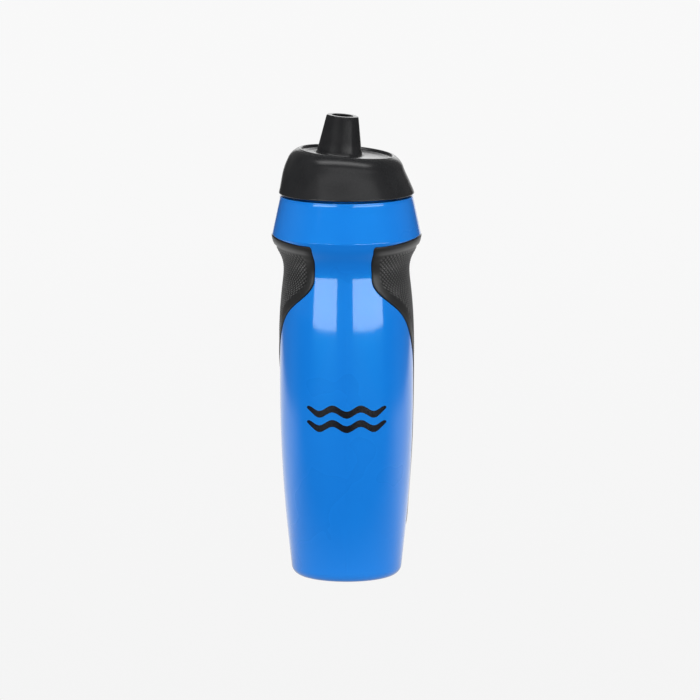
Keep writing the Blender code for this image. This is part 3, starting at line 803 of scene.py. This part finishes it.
# ---------------------------------------------------------------- valve insert
def make_insert(inner_look, seal_look, valve_look):
    """Carrier, O-ring, slit diaphragm and retainer, stacked up from the valve's seat."""
    low = VALVE_SEAT
    high = low + CARRIER_HEIGHT
    carrier = [
        (INSERT_BORE, low),
        (INSERT_RADIUS, low),
        (INSERT_RADIUS, low + GROOVE[0]),
        (GROOVE[2], low + GROOVE[0]),
        (GROOVE[2], low + GROOVE[1]),
        (INSERT_RADIUS, low + GROOVE[1]),
        (INSERT_RADIUS, high),
        (INSERT_BORE, high),
    ]
    verts, faces = closed_turn(rounded(carrier, 0.15 * MM), SMALL_SEGMENTS, to_spout)
    add_piece("carrier", verts, faces, "valve", ["valve_carrier"], inner_look, 60)
    ring = arc((O_RING[0], low + (GROOVE[0] + GROOVE[1]) / 2), O_RING[1], 0, 345, 24)
    verts, faces = closed_turn(ring, SMALL_SEGMENTS, to_spout)
    add_piece("o_ring", verts, faces, "valve", ["carrier_o_ring"], seal_look, 180)
    make_diaphragm(valve_look)
    low = VALVE_SEAT + CARRIER_HEIGHT + DIAPHRAGM + 2 * GAP
    high = low + RETAINER_HEIGHT
    retainer = [
        (INSERT_BORE, low),
        (INSERT_RADIUS, low),
        (INSERT_RADIUS, high),
        (RETAINER_MOUTH, high),
        (INSERT_BORE, high - 1.2 * MM),
    ]
    verts, faces = closed_turn(rounded(retainer, 0.2 * MM), SMALL_SEGMENTS, to_spout)
    add_piece("retainer", verts, faces, "valve", ["valve_retainer"], inner_look, 60)


def make_diaphragm(look):
    """Silicone disc whose square opening is closed by four petals."""
    low = VALVE_SEAT + CARRIER_HEIGHT + GAP
    high = low + DIAPHRAGM
    half = SLIT_SQUARE + SLIT
    per_side = SMALL_SEGMENTS // 4
    corners = [(half, -half), (half, half), (-half, half), (-half, -half)]
    square = []
    for k in range(4):
        start, end = Vector(corners[k]), Vector(corners[(k + 1) % 4])
        square += [start.lerp(end, i / per_side) for i in range(per_side)]
    rows = []
    outside = [(0.0, low + 0.12 * MM), (0.1 * MM, low), (None, low), (None, high), (0.1 * MM, high)]
    outside += [(0.0, high - 0.12 * MM)]
    for inset, height in outside:
        row = []
        for place in square:
            if inset is None:
                flat = place
            else:
                flat = place.normalized() * (INSERT_RADIUS - inset)
            row.append(to_spout(Vector((flat.x, flat.y, height))))
        rows.append(row)
    verts, faces = ring_faces(rows + rows[:1])
    count = len(rows) * len(square)
    faces = [tuple(i % count for i in face) for face in faces]
    add_piece("valve_disc", verts[:count], faces, "valve", ["drink_valve"], look, 40)
    for index in range(4):
        make_petal(index, low, high, look)


def make_petal(index, low, high, look):
    """One triangular flap of the valve, hinged on its outer top edge and narrower underneath."""
    half = SLIT_SQUARE - SLIT
    swung_in = DIAPHRAGM * sin(PETAL_SWING)
    quarter = Matrix.Rotation(index * pi / 2, 4, "Z")
    rows = []
    levels = [(low, swung_in + PETAL_ROUND), (low + PETAL_ROUND, swung_in)]
    levels += [(high - PETAL_ROUND, 0.0), (high, PETAL_ROUND)]
    for height, inset in levels:
        tip = SLIT + PETAL_BLUNT + inset
        back = SLIT_SQUARE - (PETAL_ROUND if height in (low, high) else 0.0)
        corners = [(back, inset - half), (back, half - inset), (tip, PETAL_BLUNT), (tip, -PETAL_BLUNT)]
        rows.append([to_spout(quarter @ Vector((x, y, height))) for x, y in corners])
    verts, faces = ring_faces(rows)
    faces += [(3, 2, 1, 0), (12, 13, 14, 15)]
    number = index + 1
    name = f"petal_{number}"
    add_piece(name, verts, faces, name, [f"valve_petal_{number}"], look, 30)


# ---------------------------------------------------------------- printed mark
def wave_grid(middle, offset):
    """Grid of points of one printed wave round a middle height, at an offset from the wall."""
    verts = []
    for v in spread(-1, 1, WAVE_ROWS + 1):
        for u in spread(-1, 1, WAVE_COLUMNS + 1):
            half = WAVE_THICK / 2 * (1 - abs(u) ** 7) ** 0.5
            height = middle - WAVE_SWING * cos(WAVE_CYCLES * pi * u) + half * v
            radius = wall_radius(height) + offset
            angle = (MARK_CENTRE + WAVE_LENGTH / 2 * u) / radius
            verts.append(Vector((radius * sin(angle), -radius * cos(angle), height)))
    return verts


def wave_faces(start):
    """Faces of a closed thin wave whose outer and inner grids begin at vertex start."""
    line = WAVE_COLUMNS + 1
    layer = line * (WAVE_ROWS + 1)
    faces = []
    for i in range(WAVE_ROWS):
        for j in range(WAVE_COLUMNS):
            a = start + i * line + j
            b = a + layer
            faces.append((a, a + 1, a + 1 + line, a + line))
            faces.append((b, b + line, b + 1 + line, b + 1))
    for j in range(WAVE_COLUMNS):
        for i, order in ((0, -1), (WAVE_ROWS, 1)):
            a = start + i * line + j
            faces.append((a, a + 1, a + 1 + layer, a + layer)[::order])
    for i in range(WAVE_ROWS):
        for j, order in ((0, 1), (WAVE_COLUMNS, -1)):
            a = start + i * line + j
            faces.append((a, a + line, a + line + layer, a + layer)[::order])
    return faces


def make_mark(look):
    """Plain printed mark: two waves, one above the other."""
    verts = []
    faces = []
    for middle in (MARK_HEIGHT - WAVE_PITCH / 2, MARK_HEIGHT + WAVE_PITCH / 2):
        faces += wave_faces(len(verts))
        verts += wave_grid(middle, MARK_THICKNESS)
        verts += wave_grid(middle, -MARK_THICKNESS)
    return add_piece("printed_mark", verts, faces, "bottle", [], look, 50)


# ---------------------------------------------------------------- materials
NOISE_SPAN = (0.3, 0.7)    # most of a noise factor's values lie between these


def new_look(name):
    """Empty node material with a Principled shader; returns (material, nodes, links, shader)."""
    look = bpy.data.materials.new(name)
    look.use_nodes = True
    nodes, links = look.node_tree.nodes, look.node_tree.links
    return look, nodes, links, nodes["Principled BSDF"]


def object_noise(nodes, links, scale, detail=2.0, stretch=(1, 1, 1)):
    """Noise in object space; scale is in features per metre."""
    coords = nodes.new("ShaderNodeTexCoord")
    place = nodes.new("ShaderNodeMapping")
    place.inputs["Scale"].default_value = stretch
    noise = nodes.new("ShaderNodeTexNoise")
    noise.inputs["Scale"].default_value = scale
    noise.inputs["Detail"].default_value = detail
    links.new(coords.outputs["Object"], place.inputs["Vector"])
    links.new(place.outputs["Vector"], noise.inputs["Vector"])
    return noise.outputs["Fac"]


def vary_colour(nodes, links, shader, factor, dark, light):
    """Base colour that wanders between two tones."""
    ramp = nodes.new("ShaderNodeValToRGB")
    ramp.color_ramp.elements[0].position = NOISE_SPAN[0]
    ramp.color_ramp.elements[0].color = (*dark, 1)
    ramp.color_ramp.elements[1].position = NOISE_SPAN[1]
    ramp.color_ramp.elements[1].color = (*light, 1)
    links.new(factor, ramp.inputs["Fac"])
    links.new(ramp.outputs["Color"], shader.inputs["Base Color"])


def map_range(nodes, links, value, ranges, smooth=False):
    """Value carried from one range to another and held at the ends; ranges is (from, to)."""
    (from_low, from_high), (to_low, to_high) = ranges
    node = nodes.new("ShaderNodeMapRange")
    if smooth:
        node.interpolation_type = "SMOOTHSTEP"
    node.inputs["From Min"].default_value = from_low
    node.inputs["From Max"].default_value = from_high
    node.inputs["To Min"].default_value = to_low
    node.inputs["To Max"].default_value = to_high
    links.new(value, node.inputs["Value"])
    return node.outputs["Result"]


def object_place(nodes, links):
    """Place in object space, split into X, Y and Z outputs."""
    coords = nodes.new("ShaderNodeTexCoord")
    split = nodes.new("ShaderNodeSeparateXYZ")
    links.new(coords.outputs["Object"], split.inputs["Vector"])
    return split.outputs


def vary_roughness(nodes, links, shader, factor, low, high):
    """Roughness that wanders between two values."""
    wander = map_range(nodes, links, factor, (NOISE_SPAN, (low, high)))
    links.new(wander, shader.inputs["Roughness"])


def add_bump(nodes, links, shader, factor, distance, strength):
    """Fine relief from a height factor, distance in metres."""
    bump = nodes.new("ShaderNodeBump")
    bump.inputs["Distance"].default_value = distance
    bump.inputs["Strength"].default_value = strength
    links.new(factor, bump.inputs["Height"])
    links.new(bump.outputs["Normal"], shader.inputs["Normal"])


def bottle_look():
    """Glossy blue polyethylene with faint waves left by blow moulding."""
    look, nodes, links, shader = new_look("blue_polyethylene")
    tone = object_noise(nodes, links, 26)
    waves = object_noise(nodes, links, 60, 1.0)
    vary_colour(nodes, links, shader, tone, (0.0072, 0.234, 0.86), (0.0084, 0.246, 0.89))
    vary_roughness(nodes, links, shader, tone, 0.26, 0.31)
    add_bump(nodes, links, shader, waves, 0.05 * MM, 0.2)
    shader.inputs["Specular Tint"].default_value = (0.05, 0.7, 1.0, 1)
    shader.inputs["IOR"].default_value = 1.5
    shader.inputs["Coat Weight"].default_value = 1.0
    shader.inputs["Coat Roughness"].default_value = 0.07
    shader.inputs["Coat IOR"].default_value = 1.48
    return look


def grip_look():
    """Soft black rubber with a fine grain, its colour from a vertex attribute: points lighter as rubbed rubber
    and as a painted highlight, painted shade in the gaps, and a painted highlight on the top band.
    """
    look, nodes, links, shader = new_look("grip_rubber")
    rub_and_painted_light = nodes.new("ShaderNodeAttribute")
    rub_and_painted_light.attribute_name = "rub_and_painted_light"
    grain = object_noise(nodes, links, 5200, 3.0)
    # colour from the attribute: painted shade in the gaps, painted highlights on the points and the band
    vary_colour(nodes, links, shader, rub_and_painted_light.outputs["Fac"], (0.003, 0.003, 0.003), (0.11, 0.11, 0.11))
    vary_roughness(nodes, links, shader, grain, 0.32, 0.44)
    add_bump(nodes, links, shader, grain, 0.05 * MM, 0.35)
    shader.inputs["IOR"].default_value = 1.52
    return look


def cap_look():
    """Satin black plastic with the fine texture of its mould."""
    look, nodes, links, shader = new_look("cap_plastic")
    tone = object_noise(nodes, links, 120)
    grain = object_noise(nodes, links, 4200, 3.0)
    vary_colour(nodes, links, shader, tone, (0.016, 0.016, 0.017), (0.021, 0.021, 0.022))
    vary_roughness(nodes, links, shader, grain, 0.22, 0.29)
    add_bump(nodes, links, shader, grain, 0.015 * MM, 0.3)
    shader.inputs["IOR"].default_value = 1.5
    sheen = map_range(nodes, links, object_place(nodes, links)["Z"], CAP_SHEEN)
    links.new(sheen, shader.inputs["Specular IOR Level"])
    return look


def core_look():
    """Smoother black plastic of the inner mouldings."""
    look, nodes, links, shader = new_look("core_plastic")
    tone = object_noise(nodes, links, 200)
    grain = object_noise(nodes, links, 3000)
    vary_colour(nodes, links, shader, tone, (0.024, 0.024, 0.026), (0.032, 0.032, 0.034))
    vary_roughness(nodes, links, shader, grain, 0.30, 0.42)
    add_bump(nodes, links, shader, grain, 0.03 * MM, 0.3)
    return look


def seal_look():
    """Translucent pale silicone of the gasket and the O-ring."""
    look, nodes, links, shader = new_look("seal_silicone")
    tone = object_noise(nodes, links, 400)
    vary_colour(nodes, links, shader, tone, (0.50, 0.51, 0.51), (0.58, 0.59, 0.59))
    vary_roughness(nodes, links, shader, tone, 0.42, 0.55)
    add_bump(nodes, links, shader, tone, 0.04 * MM, 0.3)
    shader.inputs["Subsurface Weight"].default_value = 0.2
    shader.inputs["Subsurface Radius"].default_value = (0.001, 0.001, 0.001)
    return look


def valve_look():
    """Dark silicone of the slit valve."""
    look, nodes, links, shader = new_look("valve_silicone")
    tone = object_noise(nodes, links, 500)
    vary_colour(nodes, links, shader, tone, (0.028, 0.029, 0.031), (0.042, 0.043, 0.045))
    vary_roughness(nodes, links, shader, tone, 0.38, 0.52)
    add_bump(nodes, links, shader, tone, 0.03 * MM, 0.3)
    return look


def ink_look():
    """Black screen-printing ink."""
    look, nodes, links, shader = new_look("print_ink")
    tone = object_noise(nodes, links, 900)
    vary_colour(nodes, links, shader, tone, (0.004, 0.005, 0.009), (0.006, 0.007, 0.012))
    vary_roughness(nodes, links, shader, tone, 0.20, 0.26)
    add_bump(nodes, links, shader, tone, 0.01 * MM, 0.3)
    return look


# ---------------------------------------------------------------- studio
STUDIO_TURN = 3.5    # degrees from the front to the camera, about which the lights are set up
CAMERA_AZIMUTH = radians(STUDIO_TURN)
CAMERA_DISTANCE = 2.84
CAMERA_HEIGHT = 0.578
AIM_HEIGHT = 0.118
LENS = 290.9
LENS_SHIFT = (0.0049, -0.0071)

# Lights: azimuth from the camera, elevation, width and height in degrees, metres away, radiance.
SOFT_BOXES = [
    ("left_box", -38.5, 1.8, 43, 12.5, 1.5, 5.3),
    ("right_box", 38.5, 1.8, 55, 12.5, 1.5, 5.3),
    ("front_box", 4, 36, 100, 22, 1.5, 0.75),
    ("top_box", 0, 76, 70, 18, 1.2, 3.0),
]
# Fills are the same, but don't show in reflections.
FILLS = [
    ("left_fill", -92, 18, 44, 44, 1.6, 1.5),
    ("right_fill", 100, 18, 44, 44, 1.6, 1.3),
    ("front_fill", 0, 4, 60, 26, 1.6, 1.07),
]
ROOM_LIGHT = 0.10
ROOM_SEEN = 0.93

# Sweep: places in metres along an axis, and the brightness there.
PAPER_TONE = ((-1.0, 1.6), (0.895, 0.945))
GLOW_BEHIND = ((-0.12, 0.10), (0.08, 0.90))
GLOW_WITHIN = ((0.40, 0.58), (1.0, 0.06))
GLOW_UPRIGHT = ((0.25, 0.60), (1.0, 2.6))
SWEEP_HALF_WIDTH = 2.2
SWEEP_FRONT = -3.4
SWEEP_BACK = 1.6
SWEEP_BEND = 0.5
SWEEP_HEIGHT = 2.6


def make_camera():
    """Camera of the photograph's angle: slightly from the right and from above."""
    data = bpy.data.cameras.new("camera")
    camera = bpy.data.objects.new("camera", data)
    bpy.context.scene.collection.objects.link(camera)
    camera.location = (
        sin(CAMERA_AZIMUTH) * CAMERA_DISTANCE,
        -cos(CAMERA_AZIMUTH) * CAMERA_DISTANCE,
        CAMERA_HEIGHT,
    )
    aim = Vector((0, 0, AIM_HEIGHT)) - camera.location
    camera.rotation_euler = aim.to_track_quat("-Z", "Y").to_euler()
    data.sensor_width = 36.0
    data.lens = LENS
    data.shift_x, data.shift_y = LENS_SHIFT
    bpy.context.scene.camera = camera


def soft_box(name, azimuth, elevation, width, height, distance, radiance):
    """Rectangular light facing the bottle; azimuth from the front, all angles in degrees."""
    data = bpy.data.lights.new(name, "AREA")
    data.shape = "RECTANGLE"
    data.size = 2 * distance * tan(radians(width / 2))
    data.size_y = 2 * distance * tan(radians(height / 2))
    data.energy = radiance * pi * data.size * data.size_y
    lamp = bpy.data.objects.new(name, data)
    bpy.context.scene.collection.objects.link(lamp)
    a, e = radians(azimuth), radians(elevation)
    place = Vector((sin(a) * cos(e), -cos(a) * cos(e), sin(e))) * distance
    lamp.location = place + Vector((0, 0, AIM_HEIGHT))
    lamp.rotation_euler = place.to_track_quat("Z", "Y").to_euler()
    return lamp


def make_lights():
    """Two soft boxes at the front, a dim one above them, a large one overhead, and three fills."""
    for name, azimuth, *rest in SOFT_BOXES:
        soft_box(name, STUDIO_TURN + azimuth, *rest)
    for name, azimuth, *rest in FILLS:
        soft_box(name, STUDIO_TURN + azimuth, *rest).visible_glossy = False


def make_room():
    """Dim room round the bottle, which the camera sees as white."""
    world = bpy.data.worlds.new("room")
    world.use_nodes = True
    nodes, links = world.node_tree.nodes, world.node_tree.links
    dim = nodes["Background"]
    dim.inputs["Color"].default_value = (0.9, 0.95, 1.0, 1)
    dim.inputs["Strength"].default_value = ROOM_LIGHT
    pale = nodes.new("ShaderNodeBackground")
    pale.inputs["Color"].default_value = (1, 1, 1, 1)
    pale.inputs["Strength"].default_value = ROOM_SEEN
    choose_for_camera(nodes, links, dim.outputs["Background"], pale.outputs["Background"],
                      nodes["World Output"].inputs["Surface"])
    bpy.context.scene.world = world


def choose_for_camera(nodes, links, light, seen, surface):
    """Show one shader to the camera and light the bottle with another."""
    path = nodes.new("ShaderNodeLightPath")
    choose = nodes.new("ShaderNodeMixShader")
    links.new(path.outputs["Is Camera Ray"], choose.inputs["Fac"])
    links.new(light, choose.inputs[1])
    links.new(seen, choose.inputs[2])
    links.new(choose.outputs["Shader"], surface)


def sweep_glow(nodes, links, place):
    """How brightly the paper lights the bottle: most from behind, near the middle and high up."""
    aside = nodes.new("ShaderNodeMath")
    aside.operation = "ABSOLUTE"
    links.new(place["X"], aside.inputs[0])
    strength = map_range(nodes, links, place["Y"], GLOW_BEHIND, smooth=True)
    within = map_range(nodes, links, aside.outputs["Value"], GLOW_WITHIN, smooth=True)
    upright = map_range(nodes, links, place["Z"], GLOW_UPRIGHT)
    for factor in (within, upright):
        product = nodes.new("ShaderNodeMath")
        product.operation = "MULTIPLY"
        links.new(strength, product.inputs[0])
        links.new(factor, product.inputs[1])
        strength = product.outputs["Value"]
    return strength


def sweep_look():
    """Pale paper: bright to the camera, dimmer in front to the bottle, and clear from its underside."""
    look = bpy.data.materials.new("studio_paper")
    look.use_nodes = True
    nodes, links = look.node_tree.nodes, look.node_tree.links
    nodes.clear()
    output = nodes.new("ShaderNodeOutputMaterial")
    place = object_place(nodes, links)
    seen = nodes.new("ShaderNodeEmission")
    links.new(map_range(nodes, links, place["Y"], PAPER_TONE), seen.inputs["Strength"])
    glow = nodes.new("ShaderNodeEmission")
    links.new(sweep_glow(nodes, links, place), glow.inputs["Strength"])
    side = nodes.new("ShaderNodeNewGeometry")
    clear = nodes.new("ShaderNodeBsdfTransparent")
    one_sided = nodes.new("ShaderNodeMixShader")
    links.new(side.outputs["Backfacing"], one_sided.inputs["Fac"])
    links.new(clear.outputs["BSDF"], one_sided.inputs[2])
    links.new(one_sided.outputs["Shader"], output.inputs["Surface"])
    choose_for_camera(nodes, links, glow.outputs["Emission"], seen.outputs["Emission"], one_sided.inputs[1])
    return look


def make_sweep():
    """Floor that curves up into a backdrop behind the bottle."""
    start = SWEEP_BACK - SWEEP_BEND
    profile = [(SWEEP_FRONT, 0.0), (-1.0, 0.0), (start, 0.0)]
    for degrees in spread(-90, 0, 17)[1:]:
        angle = radians(degrees)
        profile.append((start + SWEEP_BEND * cos(angle), SWEEP_BEND + SWEEP_BEND * sin(angle)))
    profile.append((SWEEP_BACK, SWEEP_HEIGHT))
    verts = []
    faces = []
    for y, z in profile:
        verts += [(-SWEEP_HALF_WIDTH, y, z), (SWEEP_HALF_WIDTH, y, z)]
    for i in range(len(profile) - 1):
        faces.append((2 * i, 2 * i + 1, 2 * i + 3, 2 * i + 2))
    mesh = bpy.data.meshes.new("sweep")
    mesh.from_pydata(verts, [], faces)
    mesh.shade_smooth()
    mesh.materials.append(sweep_look())
    sweep = bpy.data.objects.new("sweep", mesh)
    bpy.context.scene.collection.objects.link(sweep)


def main():
    """Build every piece, then the camera, the lights and the sweep."""
    inner, seal, valve, cap = core_look(), seal_look(), valve_look(), cap_look()
    make_bottle(bottle_look())
    make_grip(grip_look())
    make_cap(cap)
    make_core(inner)
    make_gasket(seal)
    make_insert(inner, seal, valve)
    make_mark(ink_look())
    make_camera()
    make_lights()
    make_room()
    make_sweep()
    bpy.context.scene.view_settings.view_transform = "Standard"


main()
